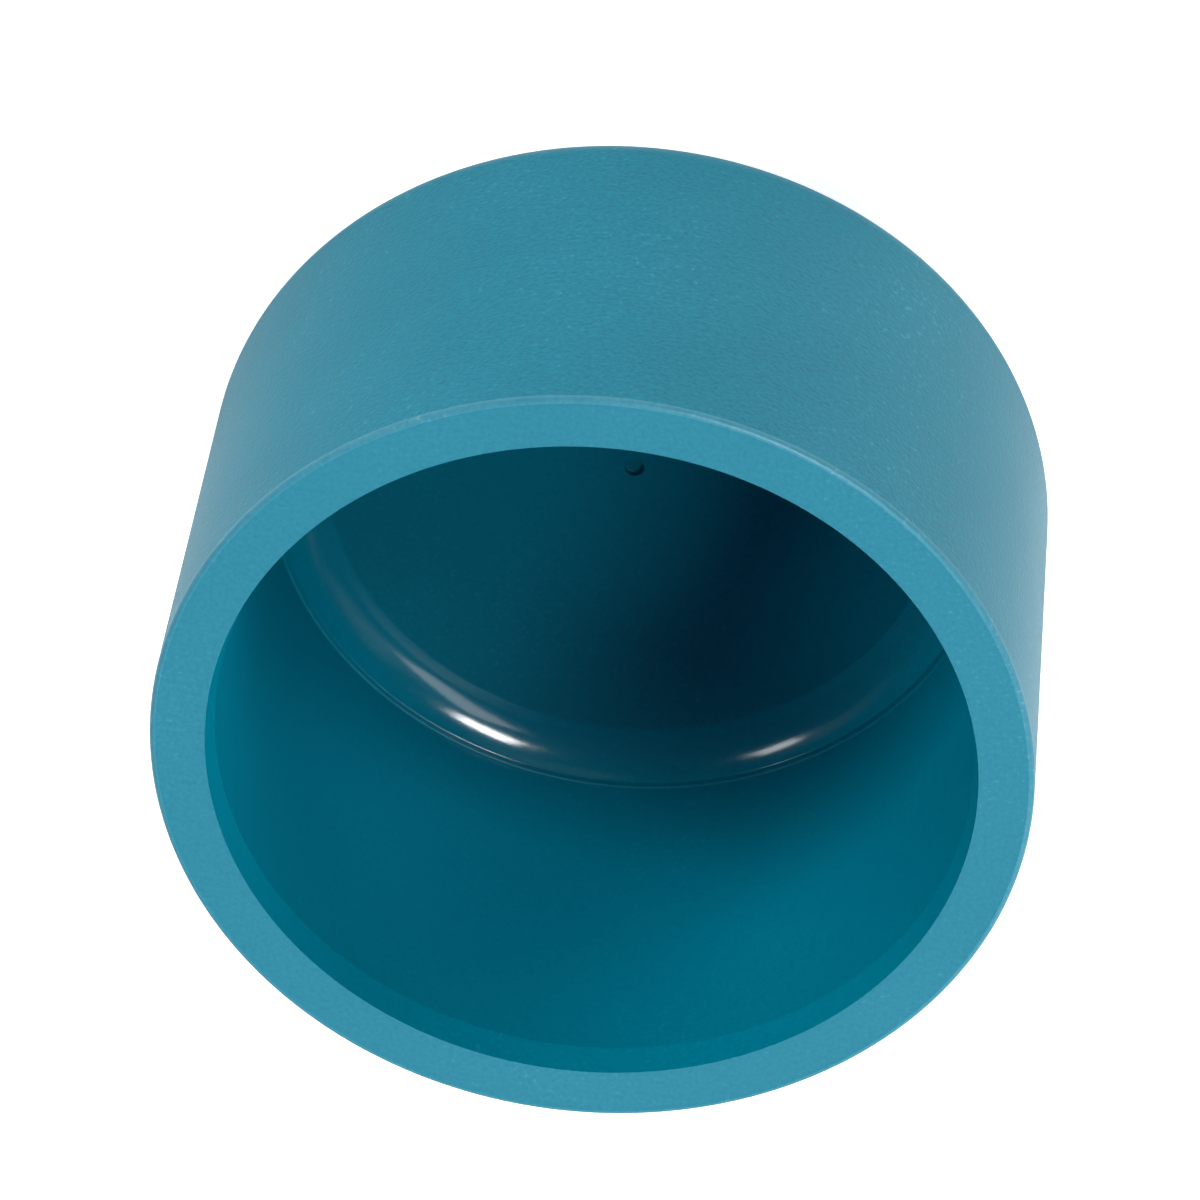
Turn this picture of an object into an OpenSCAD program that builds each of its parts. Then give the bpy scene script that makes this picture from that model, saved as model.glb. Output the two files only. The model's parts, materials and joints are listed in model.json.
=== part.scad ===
// Socket end cap for plastic pressure pipe, moulded in one piece.
// The axis is Z. The closed end stands on z = 0 and the mouth opens upwards.

/* [Socket] */
// Outside diameter of the pipe that the cap closes
pipe_d = 50; // [40:0.5:63]
// How much wider the socket is than the pipe, on the diameter, for the cement
cement_gap = 0.2; // [0.1:0.05:0.6]
// Depth from the rim to the shoulder at the end of the socket
socket_depth = 31.7; // [24:0.1:40]
// Depth of the flared lead-in inside the mouth
lead_in_depth = 2.2; // [1:0.1:4]
// How far the lead-in opens beyond the socket wall, on the radius
lead_in_flare = 0.4; // [0.2:0.05:1]

/* [Outside] */
// Thickness of the socket wall at the rim
socket_wall = 4.1; // [3:0.1:6]
// Taper of the outside towards the closed end, in degrees
draft_angle = 1; // [0:0.1:2]
// Rounding of the rim's outer edge
rim_edge_r = 0.4; // [0.2:0.05:1]
// Rounding where the outer wall turns into the end chamfer
outer_corner_r = 2.9; // [1.5:0.1:4]
// How far above the shoulder the outer corner would stand if it were sharp
corner_rise = 0.55; // [0:0.05:1.5]
// Slope of the end chamfer from the flat end, in degrees
chamfer_slope = 50; // [40:1:60]
// Rounding between the end chamfer and the flat end
base_blend_r = 7; // [3:0.5:9]

/* [Closed end] */
// Thickness of the closed end at its centre
end_wall = 4; // [3:0.1:7]
// How far the shoulder stands in from the socket wall
shoulder_step = 0.45; // [0.35:0.05:1.5]
// Depth of the dished floor below the shoulder, at its centre
dish_depth = 3.15; // [2.6:0.05:5]
// Radius of the dish where it turns up to the shoulder
knuckle_r = 5.5; // [4:0.1:7]
// Slope of the dish where it meets the shoulder, in degrees
knuckle_slope = 48; // [40:1:52]
// Rounding of the small edges inside
inner_edge_r = 0.15; // [0.05:0.05:0.15]

/* [Pin mark] */
// Diameter of the ejector pin's mark in the centre of the floor
pin_mark_d = 1.4; // [0.8:0.1:4]
// Depth of the pin mark
pin_mark_depth = 0.45; // [0.2:0.05:1]

/* [Hidden] */
$fn = 180;

// How far a cutting shape reaches past the face that it cuts
cut_past = 1;

// Inside radii
bore_r = (pipe_d + cement_gap) / 2;
mouth_r = bore_r + lead_in_flare;
shoulder_r = bore_r - shoulder_step;

// Heights above the flat end
floor_z = end_wall;
shoulder_z = floor_z + dish_depth;
rim_z = shoulder_z + socket_depth;

// Centres of the dish's two arcs: the knuckle, and the wide crown that it runs into
knuckle_centre = [shoulder_r - knuckle_r * sin(knuckle_slope),
                  shoulder_z + knuckle_r * cos(knuckle_slope)];
knuckle_rise = knuckle_centre.y - floor_z;
crown_r = (knuckle_centre.x ^ 2 + knuckle_rise ^ 2 - knuckle_r ^ 2) / (2 * (knuckle_rise - knuckle_r));
crown_centre = [0, floor_z + crown_r];

// Outside outline
rim_r = bore_r + socket_wall;
corner_z = shoulder_z + corner_rise;
corner_r = rim_r - (rim_z - corner_z) * tan(draft_angle);
base_r = corner_r - corner_z / tan(chamfer_slope);

function unit(v) = v / norm(v);

// Interior angle at corner i of a closed outline
function corner_angle(points, i) =
    let (n = len(points),
         to_last = unit(points[(i + n - 1) % n] - points[i]),
         to_next = unit(points[(i + 1) % n] - points[i]))
    acos(to_last * to_next);

// Centre of the round at corner i
function round_centre(points, i, r) =
    let (n = len(points),
         to_last = unit(points[(i + n - 1) % n] - points[i]),
         to_next = unit(points[(i + 1) % n] - points[i]))
    points[i] + unit(to_last + to_next) * r / sin(corner_angle(points, i) / 2);

// The two points where the round at corner i leaves the straight sides
function round_ends(points, i, r) =
    let (n = len(points),
         reach = r / tan(corner_angle(points, i) / 2),
         to_last = unit(points[(i + n - 1) % n] - points[i]),
         to_next = unit(points[(i + 1) % n] - points[i]))
    r == 0 ? [points[i]] : [points[i] + to_last * reach, points[i] + to_next * reach];

// A convex outline with a true arc of its own radius at each corner
module rounded_outline(points, radii) {
    corners = [for (i = [0 : len(points) - 1]) i];
    polygon([for (i = corners) for (p = round_ends(points, i, radii[i])) p]);
    for (i = corners)
        if (radii[i] > 0)
            translate(round_centre(points, i, radii[i])) circle(radii[i]);
}

// Half section of a round pocket that opens upwards, with a fillet round its floor
module pocket_section(r, bottom, top, fillet) {
    rounded_outline([[0, bottom], [r, bottom], [r, top], [0, top]], [0, fillet, 0, 0]);
}

// Half section of the dished floor, below the shoulder
module dish_section() {
    to_knuckle = unit(knuckle_centre - crown_centre);
    intersection() {
        translate([0, floor_z - cut_past]) square([shoulder_r, dish_depth + cut_past]);
        union() {
            translate(knuckle_centre) circle(knuckle_r);
            intersection() {
                translate(crown_centre) circle(crown_r);
                polygon([crown_centre, crown_centre - [0, crown_r + cut_past],
                         crown_centre + to_knuckle * (crown_r + cut_past)]);
            }
        }
    }
}

// What is cut away to round the edge between the shoulder and the dish
module shoulder_edge_section() {
    drop = knuckle_centre.y - shoulder_z + inner_edge_r;
    edge_centre = [knuckle_centre.x + sqrt((knuckle_r + inner_edge_r) ^ 2 - drop ^ 2),
                   shoulder_z - inner_edge_r];
    on_dish = knuckle_centre + unit(edge_centre - knuckle_centre) * knuckle_r;
    difference() {
        polygon([edge_centre + [0, inner_edge_r], [knuckle_centre.x, shoulder_z], on_dish, edge_centre]);
        translate(edge_centre) circle(inner_edge_r);
    }
}

// Half section of the solid cap, before it is hollowed
module outside_section() {
    rounded_outline(
        [[0, 0], [base_r, 0], [corner_r, corner_z], [rim_r, rim_z], [0, rim_z]],
        [0, base_blend_r, outer_corner_r, rim_edge_r, 0]);
}

// Half section of the hollow: lead-in, socket, shoulder and dished floor
module inside_section() {
    polygon([[0, rim_z - lead_in_depth], [bore_r, rim_z - lead_in_depth],
             [mouth_r, rim_z], [mouth_r, rim_z + cut_past], [0, rim_z + cut_past]]);
    pocket_section(bore_r, shoulder_z, rim_z, inner_edge_r);
    shoulder_edge_section();
    dish_section();
}

// Half section of the pin mark
module pin_mark_section() {
    pocket_section(pin_mark_d / 2, floor_z - pin_mark_depth, floor_z + cut_past, inner_edge_r);
}

module cap_body() {
    color([0.16, 0.50, 0.61])
    rotate_extrude() {
        difference() {
            outside_section();
            inside_section();
            pin_mark_section();
        }
    }
}

cap_body();
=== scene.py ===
"""Socket end cap in teal PVC-U, in a white studio.

The frame is the CAD's: the cap's axis is Z, it stands on z = 0 and its mouth opens upwards. Blender works
in metres; the cap's outline is worked out in millimetres and scaled once, when its mesh is made.
"""
import json
import math

import bpy
from mathutils import Matrix, Vector


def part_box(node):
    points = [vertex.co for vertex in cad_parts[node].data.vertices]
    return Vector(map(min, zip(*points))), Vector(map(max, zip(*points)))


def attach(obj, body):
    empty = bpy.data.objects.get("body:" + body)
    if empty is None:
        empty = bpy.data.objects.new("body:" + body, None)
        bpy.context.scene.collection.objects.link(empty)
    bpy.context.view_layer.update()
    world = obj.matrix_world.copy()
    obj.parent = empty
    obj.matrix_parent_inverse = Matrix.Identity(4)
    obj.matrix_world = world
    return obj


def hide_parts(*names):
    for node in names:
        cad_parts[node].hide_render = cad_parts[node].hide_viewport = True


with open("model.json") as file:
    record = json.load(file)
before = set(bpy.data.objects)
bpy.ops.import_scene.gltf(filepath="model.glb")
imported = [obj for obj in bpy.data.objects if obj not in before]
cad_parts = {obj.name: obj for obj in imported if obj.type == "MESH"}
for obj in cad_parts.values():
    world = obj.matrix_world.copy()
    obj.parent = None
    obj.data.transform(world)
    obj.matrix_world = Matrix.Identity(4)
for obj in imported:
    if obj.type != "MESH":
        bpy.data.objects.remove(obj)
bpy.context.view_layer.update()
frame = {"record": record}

MM = 0.001

# ---- The cap's dimensions that the frame states, in millimetres ----
SOCKET = next(mount for mount in frame["record"]["mounts"] if mount["name"] == "socket")
RIM_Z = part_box("cap_body")[1].z / MM
BORE_R = SOCKET["dims"]["r_mm"]
BORE_END_Z = SOCKET["pos_m"][2] / MM - SOCKET["dims"]["length_mm"] / 2

# ---- The rest of the cap's dimensions, in millimetres and degrees, as the CAD has them ----
LEAD_IN_DEPTH = 2.2
LEAD_IN_FLARE = 0.4
SOCKET_WALL = 4.1
DRAFT_ANGLE = 1.0
RIM_EDGE_R = 0.4
OUTER_CORNER_R = 2.9
CORNER_RISE = 0.55
CHAMFER_SLOPE = 50.0
BASE_BLEND_R = 7.0
END_WALL = 4.0
SHOULDER_STEP = 0.45
KNUCKLE_R = 5.5
KNUCKLE_SLOPE = 48.0
INNER_EDGE_R = 0.15
PIN_MARK_R = 0.7
PIN_MARK_DEPTH = 0.45

# ---- How finely the mesh follows the outline ----
SEGMENTS = 288
STRAIGHT_STEP = 1.6
ARC_STEP = math.radians(3.5)


def unit(v):
    return v / v.length


def line_run(start, end):
    """A straight run of (point, normal) samples; the normal is on the right of the way along it."""
    steps = max(1, round((end - start).length / STRAIGHT_STEP))
    along = unit(end - start)
    normal = Vector((along.y, -along.x))
    return [(start.lerp(end, i / steps), normal) for i in range(steps + 1)]


def arc_run(centre, start, end, hollow=False):
    """Samples round an arc, the short way from start to end. A hollow arc's normals face its centre."""
    radius = (start - centre).length
    first = math.atan2(start.y - centre.y, start.x - centre.x)
    sweep = math.remainder(math.atan2(end.y - centre.y, end.x - centre.x) - first, math.tau)
    steps = max(3, math.ceil(abs(sweep) / ARC_STEP), round(abs(sweep) * radius / STRAIGHT_STEP))
    samples = []
    for i in range(steps + 1):
        angle = first + sweep * i / steps
        out = Vector((math.cos(angle), math.sin(angle)))
        samples.append((centre + out * radius, -out if hollow else out))
    return samples


def rounded_runs(points, radii):
    """The runs along a chain of points, with an arc of its own radius at each inner point.

    A radius of 0 keeps the point sharp.
    """
    runs = []
    start = points[0]
    for last, corner, following, radius in zip(points, points[1:], points[2:], radii):
        back, ahead = unit(last - corner), unit(following - corner)
        half_angle = back.angle(ahead) / 2
        reach = radius / math.tan(half_angle)
        on_back, on_ahead = corner + back * reach, corner + ahead * reach
        runs.append(line_run(start, on_back))
        if radius:
            centre = corner + unit(back + ahead) * radius / math.sin(half_angle)
            turns_left = back.x * ahead.y - back.y * ahead.x < 0
            runs.append(arc_run(centre, on_back, on_ahead, hollow=not turns_left))
        start = on_ahead
    runs.append(line_run(start, points[-1]))
    return runs


def cap_outline():
    """Half the cap's section, from the middle of the flat end, over the rim, to the middle of the dish.

    It comes as one list of runs for each finish: outer wall, rim's edge, rim, bore, bend and dish.
    """
    shoulder_z = BORE_END_Z - INNER_EDGE_R
    shoulder_r = BORE_R - SHOULDER_STEP
    rim_r = BORE_R + SOCKET_WALL
    mouth_r = BORE_R + LEAD_IN_FLARE
    corner_z = shoulder_z + CORNER_RISE
    corner_r = rim_r - (RIM_Z - corner_z) * math.tan(math.radians(DRAFT_ANGLE))
    base_r = corner_r - corner_z / math.tan(math.radians(CHAMFER_SLOPE))

    slope = math.radians(KNUCKLE_SLOPE)
    knuckle = Vector((shoulder_r - KNUCKLE_R * math.sin(slope), shoulder_z + KNUCKLE_R * math.cos(slope)))
    knuckle_rise = knuckle.y - END_WALL
    crown_r = (knuckle.x ** 2 + knuckle_rise ** 2 - KNUCKLE_R ** 2) / (2 * (knuckle_rise - KNUCKLE_R))
    crown = Vector((0.0, END_WALL + crown_r))
    crown_end = knuckle + unit(knuckle - crown) * KNUCKLE_R

    edge_drop = knuckle.y - shoulder_z + INNER_EDGE_R
    edge_reach = math.sqrt((KNUCKLE_R + INNER_EDGE_R) ** 2 - edge_drop ** 2)
    edge = Vector((knuckle.x + edge_reach, shoulder_z - INNER_EDGE_R))
    edge_top = edge + Vector((0.0, INNER_EDGE_R))
    edge_end = edge + unit(knuckle - edge) * INNER_EDGE_R

    pin_top = Vector((PIN_MARK_R, crown.y - math.sqrt(crown_r ** 2 - PIN_MARK_R ** 2)))
    pin_z = END_WALL - PIN_MARK_DEPTH

    mouth = Vector((mouth_r, RIM_Z))
    outside = rounded_runs(
        [Vector((0.0, 0.0)), Vector((base_r, 0.0)), Vector((corner_r, corner_z)),
         Vector((rim_r, RIM_Z)), mouth],
        [BASE_BLEND_R, OUTER_CORNER_R, RIM_EDGE_R])
    rim = [outside.pop()]
    rim_edge = [outside.pop()]
    bore = rounded_runs(
        [mouth, Vector((BORE_R, RIM_Z - LEAD_IN_DEPTH)), Vector((BORE_R, shoulder_z)), edge_top],
        [0.0, INNER_EDGE_R])
    shoulder = bore.pop()
    bend = [shoulder,
            arc_run(edge, edge_top, edge_end),
            arc_run(knuckle, edge_end, crown_end, hollow=True)]
    dish = [arc_run(crown, crown_end, pin_top, hollow=True)]
    dish += rounded_runs([pin_top, Vector((PIN_MARK_R, pin_z)), Vector((0.0, pin_z))], [INNER_EDGE_R])
    return outside, rim_edge, rim, bore, bend, dish


def turned_mesh(name, *outlines):
    """The solid that the outlines make, end to end, when they turn about Z, with the outlines' own normals.

    The faces of each outline take the material slot of the same number.
    """
    rings, strips = [outlines[0][0][0][0]], []
    for slot, runs in enumerate(outlines):
        for run in runs:
            for (_, normal), (point, next_normal) in zip(run, run[1:]):
                rings.append(point)
                strips.append((len(rings) - 2, len(rings) - 1, normal, next_normal, slot))

    turns = [Vector((math.cos(a), math.sin(a))) for a in (math.tau * k / SEGMENTS for k in range(SEGMENTS))]
    vertices = [(0.0, 0.0, rings[0].y * MM)]
    for point in rings[1:-1]:
        vertices += [(point.x * turn.x * MM, point.x * turn.y * MM, point.y * MM) for turn in turns]
    vertices.append((0.0, 0.0, rings[-1].y * MM))

    def vertex(ring, k):
        if ring == 0:
            return 0
        if ring == len(rings) - 1:
            return len(vertices) - 1
        return 1 + (ring - 1) * SEGMENTS + k % SEGMENTS

    faces, normals, slots = [], [], []
    for lower, upper, lower_normal, upper_normal, slot in strips:
        for k in range(SEGMENTS):
            corners = [(vertex(lower, k), lower_normal, k), (vertex(lower, k + 1), lower_normal, k + 1),
                       (vertex(upper, k + 1), upper_normal, k + 1), (vertex(upper, k), upper_normal, k)]
            if lower == 0:
                corners.pop(1)
            elif upper == len(rings) - 1:
                corners.pop(2)
            faces.append([index for index, _, _ in corners])
            slots.append(slot)
            for _, normal, step in corners:
                turn = turns[step % SEGMENTS]
                normals.append((normal.x * turn.x, normal.x * turn.y, normal.y))

    mesh = bpy.data.meshes.new(name)
    mesh.from_pydata(vertices, [], faces)
    mesh.polygons.foreach_set("use_smooth", [True] * len(faces))
    mesh.polygons.foreach_set("material_index", slots)
    mesh.normals_split_custom_set(normals)
    mesh.validate()
    return mesh


# ---- Camera: where the mouth's centre lies in the camera's view, in metres ----
TILT = math.radians(35.69)        # between the line of sight and the cap's axis
ROLL = math.radians(188.46)       # the closed end points up in the picture
LENS_MM = 270.0
SENSOR_MM = 36.0
MOUTH_RIGHT = -0.63 * MM
MOUTH_DOWN = 10.99 * MM
MOUTH_AWAY = 591.0 * MM


def add_camera():
    """A long lens that looks down into the mouth, turned so that the closed end is at the top."""
    forward = Vector((0.0, math.sin(TILT), -math.cos(TILT)))
    level_right = Vector((1.0, 0.0, 0.0))
    level_up = level_right.cross(forward)
    right = math.cos(ROLL) * level_right + math.sin(ROLL) * level_up
    up = math.cos(ROLL) * level_up - math.sin(ROLL) * level_right
    mouth = Vector((0.0, 0.0, RIM_Z * MM))
    place = mouth - right * MOUTH_RIGHT + up * MOUTH_DOWN - forward * MOUTH_AWAY
    data = bpy.data.cameras.new("camera")
    data.lens = LENS_MM
    data.sensor_width = SENSOR_MM
    data.clip_start = 0.01
    data.clip_end = 20.0
    camera = bpy.data.objects.new("camera", data)
    turn = Matrix((right, up, -forward)).transposed()
    camera.matrix_world = Matrix.Translation(place) @ turn.to_4x4()
    bpy.context.scene.collection.objects.link(camera)
    bpy.context.scene.camera = camera


# ---- Materials: sizes in metres, each range as (lowest, highest) ----
PVC_IOR = 1.54
SHEEN_ROUGHNESS = 0.35            # of the dusty sheen at grazing angles
CLOUD_SIZE = 14 * MM              # slow drift of the colour through the moulding
FLECK_SIZE = 0.35 * MM            # pigment flecks
FLECK_SHARE = 0.75                # of the colour's drift; the clouds have the rest
NOISE_LOW, NOISE_HIGH = 0.3, 0.7  # noise mostly stays between these
# The pale specks are painted glints of the mould's grain.
LIGHT_FROM, PAINTED_GLINT_FROM = 0.62, 0.70   # noise that gives the light colour, and the pale specks
FLOOR_HALF = 0.6
FLOOR_WHITE = (0.88, 0.88, 0.88, 1.0)
FLOOR_GLOW = 0.7


class Finish:
    """How one zone of the mould leaves the plastic. The colours of the rim's edge, the rim and the dish
    also carry painted light, as said where they are set.

    It has a dark and a light colour, a colour for pale specks that are painted glints of the grain, a range
    of roughness, and a size and depth for both its fine grain and its slow waves.
    """

    def __init__(self, name, dark, light, painted_glint, roughness, specular, sheen, grain, waves):
        self.name = name
        self.dark, self.light, self.painted_glint = dark, light, painted_glint
        self.roughness = roughness
        self.specular, self.sheen = specular, sheen
        self.grain, self.waves = grain, waves


SATIN = Finish(
    "pvc_satin",
    dark=(0.006, 0.172, 0.252, 1.0), light=(0.014, 0.228, 0.326, 1.0), painted_glint=(0.060, 0.300, 0.400, 1.0),
    roughness=(0.34, 0.50), specular=0.08, sheen=0.15,
    grain=(0.30 * MM, 0.050 * MM), waves=(9 * MM, 0.030 * MM))
# The rim's rounded edge is painted paler than the wall: a painted highlight line along it, on top of its
# real higher gloss.
EDGE_PAINTED_HIGHLIGHT = Finish(
    "pvc_edge_painted_highlight",
    dark=(0.030, 0.225, 0.320, 1.0), light=(0.055, 0.265, 0.365, 1.0), painted_glint=(0.120, 0.350, 0.440, 1.0),
    roughness=(0.30, 0.42), specular=0.40, sheen=0.15,
    grain=(0.30 * MM, 0.030 * MM), waves=(9 * MM, 0.030 * MM))
# The rim is painted paler and greyer than the wall: partly its own matte face, partly a painted reflection
# of the bright sky above it.
FACED_PAINTED_REFLECTION = Finish(
    "pvc_faced_painted_reflection",
    dark=(0.022, 0.188, 0.272, 1.0), light=(0.030, 0.222, 0.315, 1.0), painted_glint=(0.060, 0.270, 0.370, 1.0),
    roughness=(0.50, 0.62), specular=0.25, sheen=0.0,
    grain=(0.25 * MM, 0.022 * MM), waves=(9 * MM, 0.010 * MM))
BORE = Finish(
    "pvc_bore",
    dark=(0.0, 0.186, 0.276, 1.0), light=(0.0, 0.212, 0.311, 1.0), painted_glint=(0.010, 0.240, 0.340, 1.0),
    roughness=(0.30, 0.38), specular=0.16, sheen=0.0,
    grain=(0.50 * MM, 0.002 * MM), waves=(7 * MM, 0.010 * MM))
POLISHED = Finish(
    "pvc_polished",
    dark=(0.0, 0.175, 0.262, 1.0), light=(0.0, 0.200, 0.297, 1.0), painted_glint=(0.010, 0.220, 0.320, 1.0),
    roughness=(0.11, 0.15), specular=0.35, sheen=0.0,
    grain=(0.50 * MM, 0.002 * MM), waves=(7 * MM, 0.020 * MM))
# The dish is painted about a fifth darker than the bore: painted shade at the bottom of the hollow.
DISH_PAINTED_SHADE = Finish(
    "pvc_dish_painted_shade",
    dark=(0.0, 0.150, 0.222, 1.0), light=(0.0, 0.172, 0.252, 1.0), painted_glint=(0.010, 0.200, 0.290, 1.0),
    roughness=(0.34, 0.42), specular=0.10, sheen=0.0,
    grain=(0.50 * MM, 0.002 * MM), waves=(7 * MM, 0.010 * MM))


def principled(name):
    """A new material, its node tree and its shader."""
    material = bpy.data.materials.new(name)
    material.use_nodes = True
    return material, material.node_tree, material.node_tree.nodes["Principled BSDF"]


def noise(tree, place, size, detail=2.0):
    """Cloudy noise with features of about this size."""
    node = tree.nodes.new("ShaderNodeTexNoise")
    node.inputs["Scale"].default_value = 1 / size
    node.inputs["Detail"].default_value = detail
    tree.links.new(place, node.inputs["Vector"])
    return node.outputs["Fac"]


def spread(tree, value, lowest, highest):
    """Noise spread over a range."""
    node = tree.nodes.new("ShaderNodeMapRange")
    node.inputs["From Min"].default_value = NOISE_LOW
    node.inputs["From Max"].default_value = NOISE_HIGH
    node.inputs["To Min"].default_value = lowest
    node.inputs["To Max"].default_value = highest
    tree.links.new(value, node.inputs["Value"])
    return node.outputs["Result"]


def blend_of(tree, first, second, share):
    """A mix of two values, with this share of the second."""
    node = tree.nodes.new("ShaderNodeMix")
    node.inputs["Factor"].default_value = share
    tree.links.new(first, node.inputs["A"])
    tree.links.new(second, node.inputs["B"])
    return node.outputs["Result"]


def bump(tree, height, depth, onto=None):
    """Normals for a height map of this depth, on top of the normals of another."""
    node = tree.nodes.new("ShaderNodeBump")
    node.inputs["Distance"].default_value = depth
    tree.links.new(height, node.inputs["Height"])
    if onto:
        tree.links.new(onto, node.inputs["Normal"])
    return node.outputs["Normal"]


def pvc_material(finish):
    """Teal PVC-U: faint clouds and flecks in the colour, pale specks painted in as glints, uneven gloss,
    and the mould's grain.
    """
    grain_size, grain_depth = finish.grain
    wave_size, wave_depth = finish.waves
    material, tree, shader = principled(finish.name)
    place = tree.nodes.new("ShaderNodeTexCoord").outputs["Object"]
    clouds = noise(tree, place, CLOUD_SIZE)
    flecks = noise(tree, place, FLECK_SIZE, detail=4.0)
    grain = noise(tree, place, grain_size)
    waves = noise(tree, place, wave_size, detail=1.0)

    ramp = tree.nodes.new("ShaderNodeValToRGB")
    dark, light = ramp.color_ramp.elements
    dark.position, dark.color = NOISE_LOW, finish.dark
    light.position, light.color = LIGHT_FROM, finish.light
    # Painted glints: where the noise is highest, the colour turns to pale specks.
    ramp.color_ramp.elements.new(PAINTED_GLINT_FROM).color = finish.painted_glint
    tree.links.new(blend_of(tree, clouds, flecks, FLECK_SHARE), ramp.inputs["Fac"])
    tree.links.new(ramp.outputs["Color"], shader.inputs["Base Color"])

    tree.links.new(spread(tree, flecks, *finish.roughness), shader.inputs["Roughness"])
    tree.links.new(bump(tree, grain, grain_depth, bump(tree, waves, wave_depth)), shader.inputs["Normal"])
    shader.inputs["IOR"].default_value = PVC_IOR
    shader.inputs["Specular IOR Level"].default_value = finish.specular
    shader.inputs["Sheen Weight"].default_value = finish.sheen
    shader.inputs["Sheen Roughness"].default_value = SHEEN_ROUGHNESS
    return material


def seen_only(tree, seen, unseen):
    """One value in direct view, and another for the light that a surface sends on."""
    node = tree.nodes.new("ShaderNodeMix")
    node.inputs["A"].default_value = unseen
    node.inputs["B"].default_value = seen
    tree.links.new(tree.nodes.new("ShaderNodeLightPath").outputs["Is Camera Ray"], node.inputs["Factor"])
    return node.outputs["Result"]


def floor_material():
    """A white table top. Its glow only lightens the cap's shadow in the picture, not the cap."""
    material, tree, shader = principled("studio_white")
    shader.inputs["Base Color"].default_value = FLOOR_WHITE
    shader.inputs["Roughness"].default_value = 1.0
    shader.inputs["Specular IOR Level"].default_value = 0.0
    shader.inputs["Emission Color"].default_value = (1.0, 1.0, 1.0, 1.0)
    tree.links.new(seen_only(tree, FLOOR_GLOW, 0.0), shader.inputs["Emission Strength"])
    return material


def add_floor():
    """A white table top under the cap, no larger than the lights reach."""
    mesh = bpy.data.meshes.new("studio_floor")
    corners = [(x * FLOOR_HALF, y * FLOOR_HALF, 0.0) for x, y in ((-1, -1), (1, -1), (1, 1), (-1, 1))]
    mesh.from_pydata(corners, [], [(0, 1, 2, 3)])
    floor = bpy.data.objects.new("studio_floor", mesh)
    mesh.materials.append(floor_material())
    bpy.context.scene.collection.objects.link(floor)


# ---- Lights: each softbox as (azimuth from +X towards +Y, elevation, width, height, radiance) ----
# The angles are in degrees, and the radiance is in watts per square metre and steradian.
LIGHT_DISTANCE = 1.5
WALL_GLOW = 0.02                  # what the unlit studio round the softboxes sends back
FILLS = {
    "fill_far_right": (131, 34, 30, 24, 12.3),
    "fill_near_left": (346, 33, 30, 22, 9.8),
    "fill_near_right": (257, 34, 34, 16, 9.0),
    "fill_top": (177, 56, 18, 16, 11.8),
}
HIGHLIGHTS = {
    "highlight_key": (233, 55, 12, 9, 42.0),
    "highlight_top": (195, 71, 20, 10, 4.5),
    "highlight_left": (329, 47, 9, 7, 12.0),
}


def add_softbox(name, azimuth, elevation, width, height, radiance):
    """A rectangular light of this angular size and brightness that faces the cap."""
    azimuth, elevation = math.radians(azimuth), math.radians(elevation)
    towards = Vector((math.cos(elevation) * math.cos(azimuth),
                      math.cos(elevation) * math.sin(azimuth),
                      math.sin(elevation)))
    data = bpy.data.lights.new(name, "AREA")
    data.shape = "RECTANGLE"
    data.size = 2 * LIGHT_DISTANCE * math.tan(math.radians(width / 2))
    data.size_y = 2 * LIGHT_DISTANCE * math.tan(math.radians(height / 2))
    data.energy = radiance * math.pi * data.size * data.size_y
    light = bpy.data.objects.new(name, data)
    light.location = Vector((0.0, 0.0, RIM_Z / 2 * MM)) + towards * LIGHT_DISTANCE
    light.rotation_euler = towards.to_track_quat("Z", "Y").to_euler()
    bpy.context.scene.collection.objects.link(light)
    return light


def add_lights():
    """Fills that only light the plastic, highlights that only reflect in it, and a pale wall all round."""
    for name, box in FILLS.items():
        add_softbox(name, *box).visible_glossy = False
    for name, box in HIGHLIGHTS.items():
        add_softbox(name, *box).visible_diffuse = False

    world = bpy.data.worlds.new("studio")
    world.use_nodes = True
    background = world.node_tree.nodes["Background"]
    background.inputs["Color"].default_value = (1.0, 1.0, 1.0, 1.0)
    world.node_tree.links.new(seen_only(world.node_tree, 1.0, WALL_GLOW), background.inputs["Strength"])
    bpy.context.scene.world = world


add_camera()
mesh = turned_mesh("cap", *cap_outline())
cap = bpy.data.objects.new("cap", mesh)
bpy.context.scene.collection.objects.link(cap)
for finish in (SATIN, EDGE_PAINTED_HIGHLIGHT, FACED_PAINTED_REFLECTION, BORE, POLISHED, DISH_PAINTED_SHADE):
    mesh.materials.append(pvc_material(finish))
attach(cap, "root")
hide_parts("cap_body")

add_floor()
add_lights()
bpy.context.scene.view_settings.view_transform = "Standard"
